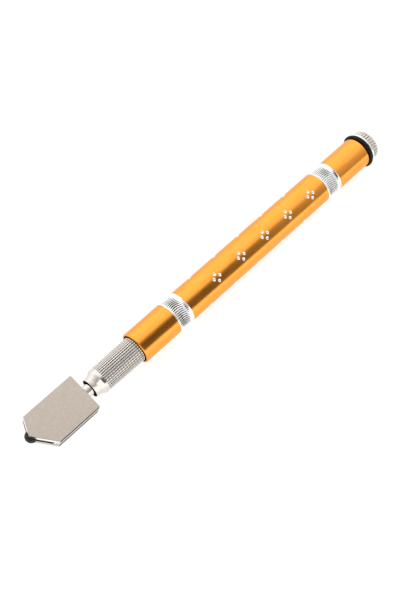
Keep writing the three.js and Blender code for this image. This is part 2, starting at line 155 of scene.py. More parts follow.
SPRING_WIRE = 0.25
SPRING_TURNS = 7
SPRING_STEPS = 32
SPRING_CROWDING = 0.06          # how much closer the end turns lie
WIRE_SIDES = 12

STEM_RADIUS = half_width("shank")
TENON_RADIUS = 1.6
TENON_GAP = 0.3                 # room in front of the tenon
OIL_BORE = 0.9
CLIP_GROOVE = 1.75
STEM_SHOULDER = 0.3             # how far the stem's shoulder stands off the head
STEM_EASE = 0.18

HEAD_BACK = stations("upper_plate")[1]
HEAD_APEX = stations("upper_plate")[0]
HEAD_SIDE = half_width("upper_plate")
HEAD_LONG_SIDE = 20.2
HEAD_SHORT_SIDE = 17.0
APEX_Y = 1.0
CORE_ARM = 1.6
SLOT_DEPTH = 12.8
EDGE_ROUND = 0.08

WHEEL_PLAY = 0.15               # room round the axle
WHEEL_BEVEL = 0.5
WHEEL_EASE = 0.05
WHEEL_TIP = 0.02                # half the width of the blunt cutting edge
WHEEL_TURNS = 120

KNOB_FRONT, TAIL_END = stations("cap_knob")
KNOB_TEETH = 32
KNOB_RADIUS = BARREL_RADIUS - 0.1
KNOB_FLANGE_RADIUS = half_width("cap_knob")
KNOB_FLANGE = 0.7
KNOB_NECK = 0.25
KNOB_DOME = 2.8
KNOB_EASE = 0.2
KNOB_TEETH_DEPTH = 0.28
KNOB_TEETH_REACH = 1.5          # how far the teeth run on over the dome
KNOB_LEAD = 0.3                 # length over which the teeth rise from the neck
KNOB_FADE = 1.2                 # length over which they fade out on the dome
KNOB_SHADE = 0.17               # depth below which the gaps between teeth get painted shade
STUB_RADIUS = 2.4
STUB_LENGTH = 3.2
STUB_GAP = 0.3                  # room behind the stub in the knob
SEAL_RADIUS = heights("tail_seal")[1]
SEAL_FULLNESS = 0.8             # size of the seal's outer rounds, as a share of half its length
SEAL_INNER_ROUND = 0.3

THREAD_REACH = (4.0, 1.2)       # thread in front of the barrel's end and behind it
THREAD_DEPTH = 0.52
THREAD_CORE = 0.65              # how far the pilot lies below the crests
THREAD_RELIEF = 0.3
THREAD_STEPS = 28
THREAD_TURNS = 120

FINE_TURNS = 576                # steps round the barrel, twelve for each flute
PLAIN_TURNS = 144
CHUNK = 20000                   # corners handled at once
PLAY = 0.1                      # room round pins, rings and the clip in their holes and grooves
THROUGH = 1.0                   # how far a cutter runs out past a face
TOUCH = 0.01                    # slack when faces are told apart by where they are

# ------------------------------------------------------------------------------- finishes

NOISE_LOW, NOISE_HIGH = 0.3, 0.7    # noise seldom leaves this range


def new_finish(name, colour, metallic, roughness, **sockets):
    """A Principled material and the shader node that its texture is linked to."""
    material = bpy.data.materials.new(name)
    material.use_nodes = True
    shader = material.node_tree.nodes["Principled BSDF"]
    shader.inputs["Base Color"].default_value = (*colour, 1.0)
    shader.inputs["Metallic"].default_value = metallic
    shader.inputs["Roughness"].default_value = roughness
    for socket, value in sockets.items():
        shader.inputs[socket.replace("_", " ")].default_value = value
    return material, shader


def noise(material, scale, detail=3.0, stretch=(1.0, 1.0, 1.0)):
    """Noise in the tool's own coordinates; scale is features to the millimetre."""
    nodes, links = material.node_tree.nodes, material.node_tree.links
    place = nodes.new("ShaderNodeTexCoord")
    mapping = nodes.new("ShaderNodeMapping")
    mapping.inputs["Scale"].default_value = [scale / MM * share for share in stretch]
    texture = nodes.new("ShaderNodeTexNoise")
    texture.inputs["Scale"].default_value = 1.0
    texture.inputs["Detail"].default_value = detail
    links.new(place.outputs["Object"], mapping.inputs["Vector"])
    links.new(mapping.outputs["Vector"], texture.inputs["Vector"])
    return texture.outputs["Fac"]


def vary_colour(material, shader, factor, low, high):
    """Base colour runs from low to high as the factor does from dark to light."""
    nodes, links = material.node_tree.nodes, material.node_tree.links
    ramp = nodes.new("ShaderNodeValToRGB")
    ramp.color_ramp.elements[0].position = NOISE_LOW
    ramp.color_ramp.elements[0].color = (*low, 1.0)
    ramp.color_ramp.elements[1].position = NOISE_HIGH
    ramp.color_ramp.elements[1].color = (*high, 1.0)
    links.new(factor, ramp.inputs["Fac"])
    links.new(ramp.outputs["Color"], shader.inputs["Base Color"])


def vary_roughness(material, shader, factor, low, high):
    """Roughness runs from low to high with the factor."""
    nodes, links = material.node_tree.nodes, material.node_tree.links
    span = nodes.new("ShaderNodeMapRange")
    span.inputs["To Min"].default_value = low
    span.inputs["To Max"].default_value = high
    span.inputs["From Min"].default_value = NOISE_LOW
    span.inputs["From Max"].default_value = NOISE_HIGH
    links.new(factor, span.inputs["Value"])
    links.new(span.outputs["Result"], shader.inputs["Roughness"])


def add_bump(material, shader, factor, height):
    """Bump whose full height is given in millimetres."""
    nodes, links = material.node_tree.nodes, material.node_tree.links
    bump = nodes.new("ShaderNodeBump")
    bump.inputs["Strength"].default_value = 1.0
    bump.inputs["Distance"].default_value = height * MM
    links.new(factor, bump.inputs["Height"])
    links.new(bump.outputs["Normal"], shader.inputs["Normal"])


def shaded(colour, share):
    """The colour with each channel multiplied by share."""
    return tuple(channel * share for channel in colour)


def make_gold():
    """Clear gold anodising over lengthwise drawing lines."""
    gold = (0.97, 0.36, 0.04)
    material, shader = new_finish("gold_anodised", gold, 1.0, 0.2, Coat_Weight=0.4, Coat_Roughness=0.06,
                                  Specular_Tint=(0.8, 0.7, 0.55, 1.0))
    drawn = noise(material, 6.0, 4.0, (0.03, 1.0, 1.0))
    vary_roughness(material, shader, drawn, 0.17, 0.25)
    cloudy = noise(material, 0.7, 3.0, (0.25, 1.0, 1.0))
    vary_colour(material, shader, cloudy, (0.95, 0.345, 0.034), (1.0, 0.38, 0.048))
    add_bump(material, shader, drawn, 0.0012)
    return material


def make_cut_silver():
    """Bare aluminium where a diamond tool has cut through the gold."""
    material, shader = new_finish("diamond_cut", (0.93, 0.92, 0.90), 1.0, 0.12)
    cut = noise(material, 2.2, 2.0)
    vary_roughness(material, shader, cut, 0.09, 0.2)
    add_bump(material, shader, cut, 0.02)
    return material


def make_nickel(name, colour, roughness, spread):
    """Nickel plate with slight clouding and a fine polish."""
    material, shader = new_finish(name, colour, 1.0, roughness)
    cloudy = noise(material, 1.1, 4.0)
    vary_colour(material, shader, cloudy, shaded(colour, 0.9), colour)
    polish = noise(material, 8.0, 3.0)
    vary_roughness(material, shader, polish, roughness - spread, roughness + spread)
    add_bump(material, shader, polish, 0.0015)
    return material


def make_satin():
    """Tumbled nickel of the head's faces: a soft warm sheen with tiny pits."""
    colour = (0.635, 0.56, 0.48)
    material, shader = new_finish("satin_nickel", colour, 1.0, 0.42)
    cloudy = noise(material, 1.3, 5.0)
    vary_colour(material, shader, cloudy, shaded(colour, 0.93), shaded(colour, 1.05))
    grain = noise(material, 7.0, 4.0)
    vary_roughness(material, shader, grain, 0.34, 0.5)
    add_bump(material, shader, grain, 0.012)
    return material


def make_rubber():
    """Matt black nitrile rubber."""
    material, shader = new_finish("black_rubber", (0.005, 0.0045, 0.004), 0.0, 0.5, Specular_IOR_Level=0.2)
    grain = noise(material, 5.0, 4.0)
    vary_roughness(material, shader, grain, 0.42, 0.6)
    add_bump(material, shader, grain, 0.012)
    return material


def make_carbide():
    """Ground tungsten carbide with fine grinding marks."""
    material, shader = new_finish("carbide", (0.035, 0.034, 0.036), 0.7, 0.32)
    ground = noise(material, 9.0, 2.0, (1.0, 1.0, 0.2))
    vary_roughness(material, shader, ground, 0.24, 0.4)
    add_bump(material, shader, ground, 0.002)
    return material


def make_black(name, colour):
    """Dark, hardly shining finish that paints shade onto recesses and shaded faces, with a random mottle.
    """
    material, shader = new_finish(name, colour, 0.0, 0.6, Specular_IOR_Level=0.12)
    mottle = noise(material, 2.0, 3.0)
    vary_colour(material, shader, mottle, shaded(colour, 0.7), shaded(colour, 1.4))
    vary_roughness(material, shader, mottle, 0.5, 0.7)
    add_bump(material, shader, mottle, 0.004)
    return material


def make_turned(name, colour, roughness):
    """Turned metal, with tool marks round the axis."""
    material, shader = new_finish(name, colour, 1.0, roughness)
    marks = noise(material, 9.0, 2.0, (1.0, 0.12, 0.12))
    vary_roughness(material, shader, marks, roughness - 0.06, roughness + 0.08)
    vary_colour(material, shader, marks, shaded(colour, 0.88), colour)
    add_bump(material, shader, marks, 0.003)
    return material


def make_felt():
    """Twisted cotton of the wick."""
    material, shader = new_finish("felt", (0.8, 0.74, 0.6), 0.0, 0.95, Sheen_Weight=0.4)
    strands = noise(material, 4.0, 5.0, (0.4, 1.0, 1.0))
    vary_colour(material, shader, strands, (0.62, 0.55, 0.42), (0.85, 0.8, 0.67))
    add_bump(material, shader, strands, 0.08)
    return material


GOLD = make_gold()
CUT = make_cut_silver()
BRIGHT = make_nickel("bright_nickel", (0.75, 0.705, 0.65), 0.15, 0.04)
# Darkened nickel that paints shade into the bottoms of the knurl grooves on the collar and the knob
GROOVE = make_nickel("groove_painted_shade", (0.25, 0.22, 0.195), 0.3, 0.08)
# Dark finish that paints shade into the mouths of the barrel and the collar
DARK = make_black("mouth_shade", (0.014, 0.011, 0.008))
KNOB = make_nickel("knob_nickel", (0.665, 0.62, 0.55), 0.2, 0.05)
# Dark finish that paints shade into the bottoms of the front band's flutes, and a lighter one for the rear
# band's
FLUTE = make_black("flute_painted_shade", (0.03, 0.028, 0.027))
PALE_FLUTE = make_black("pale_flute_painted_shade", (0.2, 0.195, 0.19))
SATIN = make_satin()
# Dark finish that paints shade on the head's long sides, inner faces, front rim and slot
EDGE = make_black("edge_painted_shade", (0.04, 0.034, 0.03))
STEEL = make_turned("steel", (0.56, 0.56, 0.57), 0.28)
SPRING_STEEL = make_turned("spring_steel", (0.42, 0.43, 0.45), 0.25)
BRASS = make_turned("brass", (0.76, 0.5, 0.19), 0.26)
RUBBER = make_rubber()
CARBIDE = make_carbide()
FELT = make_felt()

# ------------------------------------------------------------------------------- mesh helpers


def to_row(points):
    """Points of (station, y, height over the axis) in millimetres, in the row frame's metres."""
    return (np.asarray(points, float) + np.array((FRONT, 0.0, AXIS_Z))) * MM


def add_object(name, data):
    """New object of the data, in the scene."""
    added = bpy.data.objects.new(name, data)
    bpy.context.scene.collection.objects.link(added)
    return added


def mesh_object(name, points, faces, materials):
    """New object from points in millimetres, with its faces turned outwards."""
    mesh = bpy.data.meshes.new(name)
    mesh.from_pydata(to_row(points), [], faces)
    for material in materials:
        mesh.materials.append(material)
    built = bmesh.new()
    built.from_mesh(mesh)
    bmesh.ops.recalc_face_normals(built, faces=built.faces)
    built.to_mesh(mesh)
    built.free()
    return add_object(name, mesh)


def smooth(piece, sharp_degrees=32.0):
    """Smooth shading that stays crisp at edges sharper than the given angle."""
    built = bmesh.new()
    built.from_mesh(piece.data)
    limit = math.radians(sharp_degrees)
    for face in built.faces:
        face.smooth = True
    for edge in built.edges:
        edge.smooth = len(edge.link_faces) == 2 and edge.calc_face_angle(0.0) < limit
    built.to_mesh(piece.data)
    built.free()


def turned(name, profile, materials, turns=PLAIN_TURNS, relief=None):
    """Surface turned about the tool's axis from (station, radius) pairs.

    The profile closes on itself or starts and ends on the axis. relief(station, radius, angles) gives how
    far the surface is raised at each angle.
    """
    closed = profile[0] == profile[-1]
    rows = profile[:-1] if closed else profile
    angles = np.arange(turns) / turns * TURN
    points = []
    rings = []
    for station, radius in rows:
        if radius == 0:
            rings.append([len(points)] * turns)
            points.append((station, 0.0, 0.0))
            continue
        radii = np.full(turns, float(radius))
        if relief is not None:
            radii = radii + relief(station, radius, angles)
        rings.append(list(range(len(points), len(points) + turns)))
        points.extend(zip(np.full(turns, station), -radii * np.sin(angles), radii * np.cos(angles)))
    faces = []
    for here, there in zip(rings, rings[1:] + (rings[:1] if closed else [])):
        for step in range(turns):
            after = (step + 1) % turns
            corners = (here[step], here[after], there[after], there[step])
            faces.append(tuple(dict.fromkeys(corners)))
    return mesh_object(name, points, faces, materials)


def arc(centre_station, centre_radius, size, start, end, steps):
    """Points of a round stretch of a profile; angles in degrees from the tail's direction outwards."""
    sweep = np.radians(np.linspace(start, end, steps + 1))
    return [(centre_station + size * math.cos(a), centre_radius + size * math.sin(a)) for a in sweep]


def apply_modifiers(piece):
    """Turns what the piece's modifiers make into its own mesh."""
    graph = bpy.context.evaluated_depsgraph_get()
    settled = bpy.data.meshes.new_from_object(piece.evaluated_get(graph))
    piece.modifiers.clear()
    piece.data = settled


def carve(piece, cutter):
    """Takes the cutter's solid out of the piece, and removes the cutter."""
    modifier = piece.modifiers.new("carve", "BOOLEAN")
    modifier.operation = "DIFFERENCE"
    modifier.solver = "EXACT"
    modifier.object = cutter
    apply_modifiers(piece)
    bpy.data.objects.remove(cutter)


def station_and_radius(face):
    """Where a face's middle is: its station and its distance from the tool's axis."""
    middle = face.center / MM
    return middle.x - FRONT, math.hypot(middle.y, middle.z - AXIS_Z)


def finish_piece(piece, body, slot, *nodes):
    """Puts a piece on its body in place of its CAD nodes."""
    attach(piece, body)
    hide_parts(*nodes)


# ------------------------------------------------------------------------------- barrel


def flute_relief(station, angles):
    """Depth of the slanted, bowed flutes of whichever band the station is in."""
    for start, end in BANDS:
        front = start + BAND_BORDERS[0]
        rear = end - BAND_BORDERS[1]
        along = (2 * station - front - rear) / (rear - front)
        if abs(along) >= 1:
            continue
        pitch = TURN * BARREL_RADIUS / FLUTES
        taper = 1 - along**FLUTE_FULLNESS
        bow = FLUTE_BOW * (1 - along**2)
        shift = math.tan(FLUTE_SLANT) * (station - (front + rear) / 2) - bow
        turns = (angles * BARREL_RADIUS - shift) / pitch
        off_centre = np.abs(turns - np.round(turns)) * pitch
        half = FLUTE_WIDTH / 2 * taper**FLUTE_NARROWING
        return -FLUTE_DEPTH * math.sqrt(taper) * np.clip(1 - (off_centre / half) ** 2, 0, 1)
    return np.zeros_like(angles)


def band_profile(start, end):
    """Rows of one band: a step down, fine rows for the flutes and a step up."""
    floor = BARREL_RADIUS - BAND_RECESS
    rows = [(start - BAND_EDGE, BARREL_RADIUS), (start, BARREL_RADIUS - BAND_EDGE)]
    rows += [(start + BAND_EDGE, floor + BAND_EDGE / 2), (start + 2 * BAND_EDGE, floor)]
    front = start + BAND_BORDERS[0]
    rear = end - BAND_BORDERS[1]
    rows += [(station, floor) for station in np.linspace(front, rear, BAND_ROWS)]
    rows += [(end - 2 * BAND_EDGE, floor), (end - BAND_EDGE, floor + BAND_EDGE / 2)]
    rows += [(end, BARREL_RADIUS - BAND_EDGE), (end + BAND_EDGE, BARREL_RADIUS)]
    return rows


def dimple_centres():
    """Centre of each dimple's ball: fours in staggered rows round the barrel."""
    ball = (DIMPLE_RADIUS**2 + DIMPLE_DEPTH**2) / (2 * DIMPLE_DEPTH)
    height = BARREL_RADIUS + ball - DIMPLE_DEPTH
    around = CLUSTER_RADIUS / BARREL_RADIUS
    centres = []
    for row in range(DIMPLE_ROWS):
        turn = DIMPLE_ROLL + row / DIMPLE_ROWS * TURN
        first = CLUSTER_START - (row % 2) * CLUSTER_PITCH / 2
        for cluster in range(CLUSTERS):
            station = first + cluster * CLUSTER_PITCH
            for along, angle in ((-CLUSTER_RADIUS, 0), (CLUSTER_RADIUS, 0), (0, -around), (0, around)):
                sine, cosine = math.sin(turn + angle), math.cos(turn + angle)
                centres.append((station + along, -height * sine, height * cosine))
    return np.array(centres), ball


def ball_mesh(radius, rings, turns):
    """Points and faces of a ball about the origin."""
    polar = np.arange(1, rings) / rings * math.pi
    around = np.arange(turns) / turns * TURN
    level, flat = np.cos(polar)[:, None], np.sin(polar)[:, None]
    grid = np.stack((flat * np.cos(around), flat * np.sin(around), level + 0 * around), -1).reshape(-1, 3)
    points = np.vstack((grid, (0, 0, 1), (0, 0, -1))) * radius
    top, bottom = len(grid), len(grid) + 1
    faces = []
    for step in range(turns):
        after = (step + 1) % turns
        faces.append((top, step, after))
        for ring in range(rings - 2):
            here, there = ring * turns, (ring + 1) * turns
            faces.append((here + step, there + step, there + after, here + after))
        last = (rings - 2) * turns
        faces.append((last + step, bottom, last + after))
    return points, faces


def dimple_cutter(centres, ball):
    """One ball for each dimple, in a single object."""
    points, faces = ball_mesh(ball, BALL_RINGS, BALL_TURNS)
    places = []
    joined = []
    for number, centre in enumerate(centres):
        places.append(points + centre)
        joined += [tuple(corner + number * len(points) for corner in face) for face in faces]
    cutter = mesh_object("dimple_balls", np.vstack(places), joined, [GOLD, CUT])
    for face in cutter.data.polygons:
        face.material_index = 1
    return cutter


def true_normals(piece, centres):
    """Exact normals on the barrel's round surface and in its dimples, whatever way the faces were split."""
    mesh = piece.data
    corners = len(mesh.loops)
    owner = np.empty(corners, int)
    mesh.loops.foreach_get("vertex_index", owner)
    places = np.empty(len(mesh.vertices) * 3)
    mesh.vertices.foreach_get("co", places)
    places = (places.reshape(-1, 3) / MM - (FRONT, 0.0, AXIS_Z))[owner]
    normals = np.empty(corners * 3)
    mesh.corner_normals.foreach_get("vector", normals)
    normals = normals.reshape(-1, 3)
    sizes = np.empty(len(mesh.polygons), int)
    mesh.polygons.foreach_get("loop_total", sizes)
    index = np.empty(len(mesh.polygons), int)
    mesh.polygons.foreach_get("material_index", index)
    plain = np.repeat(index == 0, sizes)
    cut = np.repeat(index == 1, sizes)
    radii = np.hypot(places[:, 1], places[:, 2])
    radial = places * (0, 1, 1) / radii[:, None]
    facing = np.einsum("ij,ij->i", normals, radial)
    on_barrel = plain & (radii > BARREL_RADIUS - TOUCH / 10) & (facing > 0.9)
    normals[on_barrel] = radial[on_barrel]
    in_bands = np.zeros(corners, bool)
    for start, end in BANDS:
        in_bands |= (places[:, 0] > start - BAND_MARGIN) & (places[:, 0] < end + BAND_MARGIN)
    dimpled = np.flatnonzero(cut & ~in_bands)
    for start in range(0, len(dimpled), CHUNK):
        some = dimpled[start:start + CHUNK]
        apart = centres[None] - places[some][:, None]
        nearest = apart[np.arange(len(some)), np.linalg.norm(apart, axis=2).argmin(1)]
        normals[some] = nearest / np.linalg.norm(nearest, axis=1)[:, None]
    mesh.normals_split_custom_set(normals.tolist())


def make_barrel():
    """Gold tube with rolled rims, two diamond-cut bands of bowed flutes, and rows of dimples in fours."""
    bore = BARREL_RADIUS - BARREL_WALL
    mouth = bore + MOUTH_STEP
    edge = BARREL_RADIUS - BARREL_LIP
    outer = arc(BARREL_LIP, edge, BARREL_LIP, 180, 90, 4)
    for start, end in BANDS:
        outer += band_profile(start, end)
    outer += arc(BARREL_END - BARREL_LIP, edge, BARREL_LIP, 90, 0, 4)
    inner = [(BARREL_END, bore + RIM_BREAK), (BARREL_END - RIM_BREAK, bore)]
    inner += [(MOUTH_DEPTH, bore), (MOUTH_DEPTH, mouth), (RIM_BREAK, mouth), (0.0, mouth + RIM_BREAK)]
    profile = outer + inner
    profile.append(profile[0])

    def relief(station, radius, angles):
        if radius > mouth:
            return flute_relief(station, angles)
        return np.zeros_like(angles)

    piece = turned("barrel_gold", profile, [GOLD, CUT, FLUTE, PALE_FLUTE, DARK], FINE_TURNS, relief)
    for face in piece.data.polygons:
        station, radius = station_and_radius(face)
        in_band = any(start - BAND_EDGE < station < end + BAND_EDGE for start, end in BANDS)
        in_flute = radius < BARREL_RADIUS - BAND_RECESS - FLUTE_SHADE
        # Painted shade: flute bottoms get the dark finish, lighter in the rear band than in the front band;
        # the rest of a band is cut silver
        if in_band and radius > mouth:
            shade_slot = 2 if station < BARREL_END / 2 else 3
            face.material_index = shade_slot if in_flute else 1
        # Painted shade on the inner faces of the mouth
        elif station < MOUTH_DEPTH + TOUCH and radius < mouth + TOUCH:
            face.material_index = 4
    centres, ball = dimple_centres()
    carve(piece, dimple_cutter(centres, ball))
    smooth(piece)
    true_normals(piece, centres)
    finish_piece(piece, "handle", "gold_anodised", "barrel")


# ------------------------------------------------------------------------------- nose collar


def knurl(pitches, depth):
    """Depth below the tips of a knurl at a place given in pitches: rounded tips with narrow grooves."""
    groove = np.abs(np.cos(np.pi * pitches))
    return depth * groove**5


def make_collar():
    """Nickel collar: a recessed mouth, a smooth cone, a square knurl and a spigot with a seal groove."""
    neck = COLLAR_MOUTH + COLLAR_NECK
    cone_end = COLLAR_MOUTH + COLLAR_CONE_END
    knurl_start = COLLAR_MOUTH + COLLAR_KNURL_START
    length = -knurl_start
    spigot = BARREL_RADIUS - BARREL_WALL - SPIGOT_PLAY
    seal_front, seal_rear = stations("nose_seal")
    groove = spigot - SEAL_GROOVE
    rim, ease = 0.08, 0.03
    outer = [(COLLAR_MOUTH, COLLAR_MOUTH_RADIUS - rim), (COLLAR_MOUTH + ease, COLLAR_MOUTH_RADIUS - ease)]
    outer += [(COLLAR_MOUTH + rim, COLLAR_MOUTH_RADIUS)]
    outer += [(neck - COLLAR_BEND, COLLAR_MOUTH_RADIUS + COLLAR_NECK_RISE * 0.9)]
    outer += [(neck + COLLAR_BEND, COLLAR_MOUTH_RADIUS + COLLAR_NECK_RISE * 1.4)]
    outer += [(cone_end - 0.2, COLLAR_FRONT_RADIUS - 0.1), (cone_end, COLLAR_FRONT_RADIUS)]
    outer += [(cone_end + COLLAR_BEND, COLLAR_FRONT_RADIUS), (knurl_start - 0.05, COLLAR_FRONT_RADIUS)]
    rows = COLLAR_RINGS * KNURL_STEPS
    outer += [(knurl_start + length * row / rows,
               COLLAR_FRONT_RADIUS + (COLLAR_RADIUS - COLLAR_FRONT_RADIUS) * row / rows)
              for row in range(rows + 1)]
    outer += [(MOUTH_DEPTH - 0.3, COLLAR_RADIUS), (MOUTH_DEPTH, spigot), (seal_front - PLAY, spigot)]
    outer += [(seal_front - PLAY, groove), (seal_rear + PLAY, groove), (seal_rear + PLAY, spigot)]
    outer += [(COLLAR_END - 0.2, spigot), (COLLAR_END, spigot - 0.2)]
    shoulder = COLLAR_MOUTH + COLLAR_SHOULDER
    dish = COLLAR_MOUTH_RADIUS - COLLAR_MOUTH_EDGE
    dish_floor = COLLAR_MOUTH + COLLAR_MOUTH_DEPTH
    inner = [(COLLAR_END, COLLAR_BORE), (shoulder, COLLAR_BORE), (shoulder, COLLAR_MOUTH_BORE)]
    inner += [(dish_floor, COLLAR_MOUTH_BORE), (dish_floor, dish), (COLLAR_MOUTH + 0.05, dish)]
    inner += [(COLLAR_MOUTH, dish + 0.05)]
    profile = outer + inner
    profile.append(profile[0])

    def relief(station, radius, angles):
        if radius < COLLAR_FRONT_RADIUS or not knurl_start <= station <= 0:
            return np.zeros_like(angles)
        rings = knurl((station - knurl_start) / length * COLLAR_RINGS + 0.5, RINGS_DEPTH)
        teeth = knurl(angles / TURN * COLLAR_TEETH + 0.5, TEETH_DEPTH)
        return -np.maximum(rings, teeth)

    piece = turned("nose_collar_knurled", profile, [BRIGHT, GROOVE, DARK], COLLAR_TEETH * KNURL_STEPS,
                   relief)
    for face in piece.data.polygons:
        station, radius = station_and_radius(face)
        tips = COLLAR_RADIUS + (COLLAR_FRONT_RADIUS - COLLAR_RADIUS) * station / knurl_start
        # Painted shade: the bottoms of the knurl grooves get the darkened nickel
        in_groove = knurl_start < station < 0 and spigot - 0.5 < radius < tips - RINGS_DEPTH
        # Painted shade in the dished mouth
        in_mouth = station < shoulder + TOUCH and radius < dish + TOUCH
        face.material_index = 2 if in_mouth else int(in_groove)
    smooth(piece, 40)
    finish_piece(piece, "handle", "bright_nickel", "nose_collar")


def make_spring():
    """Coil spring with closed ends; the real one shortens as the head is pressed, this one keeps its
    length.
    """
    front, rear = stations("return_spring")
    radius = half_width("return_spring") - SPRING_WIRE
    length = rear - front - 2 * SPRING_WIRE
    share = np.linspace(0, 1, SPRING_TURNS * SPRING_STEPS + 1)
    along = front + SPRING_WIRE + length * (share - SPRING_CROWDING * np.sin(TURN * share))
    turn = share * SPRING_TURNS * TURN
    around = np.arange(WIRE_SIDES) / WIRE_SIDES * TURN
    outward = SPRING_WIRE * np.cos(around)[None] + radius
    sideways = SPRING_WIRE * np.sin(around)[None]
    points = np.stack((along[:, None] + sideways, outward * np.sin(turn)[:, None],
                       outward * np.cos(turn)[:, None]), -1).reshape(-1, 3)
    faces = [tuple(range(WIRE_SIDES)), tuple(range(len(points) - WIRE_SIDES, len(points)))]
    for row in range(len(share) - 1):
        here, there = row * WIRE_SIDES, (row + 1) * WIRE_SIDES
        for step in range(WIRE_SIDES):
            after = (step + 1) % WIRE_SIDES
            faces.append((here + step, here + after, there + after, there + step))
    piece = mesh_object("return_spring_coil", points, faces, [SPRING_STEEL])
    smooth(piece, 50)
    finish_piece(piece, "handle", "spring_steel", "return_spring")
    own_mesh(piece)


# ------------------------------------------------------------------------------- head


def make_shank():
    """Polished stem with an eased shoulder, a tenon into the head, a clip groove and an oil bore."""
    front, rear = stations("shank")
    clip_front, clip_rear = stations("shank_clip")
    shoulder = HEAD_BACK + STEM_SHOULDER
    outer = [(front, TENON_RADIUS), (shoulder, TENON_RADIUS)]
    outer += arc(shoulder + STEM_EASE, STEM_RADIUS - STEM_EASE, STEM_EASE, 180, 90, 4)
    outer += [(clip_front - PLAY, STEM_RADIUS), (clip_front - PLAY, CLIP_GROOVE)]
    outer += [(clip_rear + PLAY, CLIP_GROOVE), (clip_rear + PLAY, STEM_RADIUS)]
    outer += arc(rear - STEM_EASE, STEM_RADIUS - STEM_EASE, STEM_EASE, 90, 0, 4)
    profile = outer + [(rear, OIL_BORE), (front, OIL_BORE), (front, TENON_RADIUS)]
    piece = turned("shank_polished", profile, [BRIGHT])
    smooth(piece)
    finish_piece(piece, "head", "bright_nickel", "shank")


def head_outline():
    """Corners of the plates: back right, back left, front left, apex and front right."""
    return [
        (HEAD_BACK, -HEAD_SIDE),
        (HEAD_BACK, HEAD_SIDE),
        (HEAD_BACK - HEAD_LONG_SIDE, HEAD_SIDE),
        (HEAD_APEX, APEX_Y),
        (HEAD_BACK - HEAD_SHORT_SIDE, -HEAD_SIDE),
    ]


def on_front(corner, y):
    """Point at y on the slanted edge from the apex to a front corner."""
    share = (y - APEX_Y) / (corner[1] - APEX_Y)
    return HEAD_APEX + (corner[0] - HEAD_APEX) * share, y


def core_outline():
    """U of the core: a bridge at the back and an arm down each side."""
    back_right, back_left, front_left, _, front_right = head_outline()
    inner = HEAD_SIDE - CORE_ARM
    floor = HEAD_APEX + SLOT_DEPTH
    return [back_right, back_left, front_left, on_front(front_left, inner), (floor, inner),
            (floor, -inner), on_front(front_right, -inner), front_right]


def slab(name, outline, bottom, top, materials):
    """Flat piece cut to an outline, its edges eased."""
    built = bmesh.new()
    corners = [built.verts.new(point) for point in to_row([(x, y, bottom) for x, y in outline])]
    base = built.faces.new(corners)
    raised = bmesh.ops.extrude_face_region(built, geom=[base])
    lift = Vector((0, 0, (top - bottom) * MM))
    top_corners = [part for part in raised["geom"] if isinstance(part, bmesh.types.BMVert)]
    bmesh.ops.translate(built, vec=lift, verts=top_corners)
    bmesh.ops.recalc_face_normals(built, faces=built.faces)
    bmesh.ops.bevel(built, geom=built.edges[:], offset=EDGE_ROUND * MM, segments=2, profile=0.5,
                    affect="EDGES", clamp_overlap=True)
    mesh = bpy.data.meshes.new(name)
    built.to_mesh(mesh)
    built.free()
    for material in materials:
        mesh.materials.append(material)
    return add_object(name, mesh)


def harden(piece):
    """Keeps large flat faces flat right up to their eased edges."""
    modifier = piece.modifiers.new("harden", "WEIGHTED_NORMAL")
    modifier.mode = "FACE_AREA"
    modifier.weight = 100
    modifier.keep_sharp = True
    apply_modifiers(piece)


def round_cutter(centre, radius, length, axis):
    """Round bar for cutting a hole, centred on a point of (station, y, height)."""
    turn = Matrix.Rotation(math.pi / 2, 4, "Y") if axis == "X" else Matrix.Identity(4)
    built = bmesh.new()
    bmesh.ops.create_cone(built, cap_ends=True, segments=48, radius1=radius * MM, radius2=radius * MM,
                          depth=length * MM, matrix=Matrix.Translation(to_row(centre)) @ turn)
    mesh = bpy.data.meshes.new("hole")
    built.to_mesh(mesh)
    built.free()
    return add_object("hole", mesh)


def pin_middle(node):
    """Middle of an upright pin, as (station, y, 0)."""
    low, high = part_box(node)
    middle = (low + high) / 2 / MM
    return middle.x - FRONT, middle.y, 0.0


def cut_holes(piece, pins):
    """Cuts the tenon's hole and a blind hole for each pin, with some room all round."""
    floor = stations("shank")[0] - TENON_GAP
    mouth = HEAD_BACK + THROUGH
    carve(piece, round_cutter(((floor + mouth) / 2, 0, 0), TENON_RADIUS + PLAY, mouth - floor, "X"))
    for node in pins:
        low, high = heights(node)
        carve(piece, round_cutter(pin_middle(node), half_width(node) + PLAY, high - low + 2 * PLAY, "Z"))


DOWELS = [f"head_dowel_{number}" for number in range(1, 5)]


def make_plate(name, node):
    """One plate of the head: satin faces, painted shade on its sides, inner face and front rim and, on the
    upper one, a bright front.
    """
    low, high = heights(node)
    inward = -1 if low > 0 else 1
    piece = slab(name, head_outline(), low, high, [SATIN, EDGE, CUT if low > 0 else SATIN])
    for face in piece.data.polygons:
        # Painted shade: the long sides, the face towards the other plate and the front rim get the dark
        # finish
        along_side = abs(face.normal.y) > 0.9
        inner_face = face.normal.z * inward > 0.9
        slanted_front = face.normal.x < -0.5 and abs(face.normal.z) < 0.3
        front_rim = face.normal.x < -0.2 and face.normal.y < 0 and face.normal.z > 0.3
        face.material_index = 1 if along_side or inner_face or front_rim else 2 if slanted_front else 0
    cut_holes(piece, [*DOWELS, "wheel_axle"])
    smooth(piece)
    harden(piece)
    finish_piece(piece, "head", "satin_nickel", node)


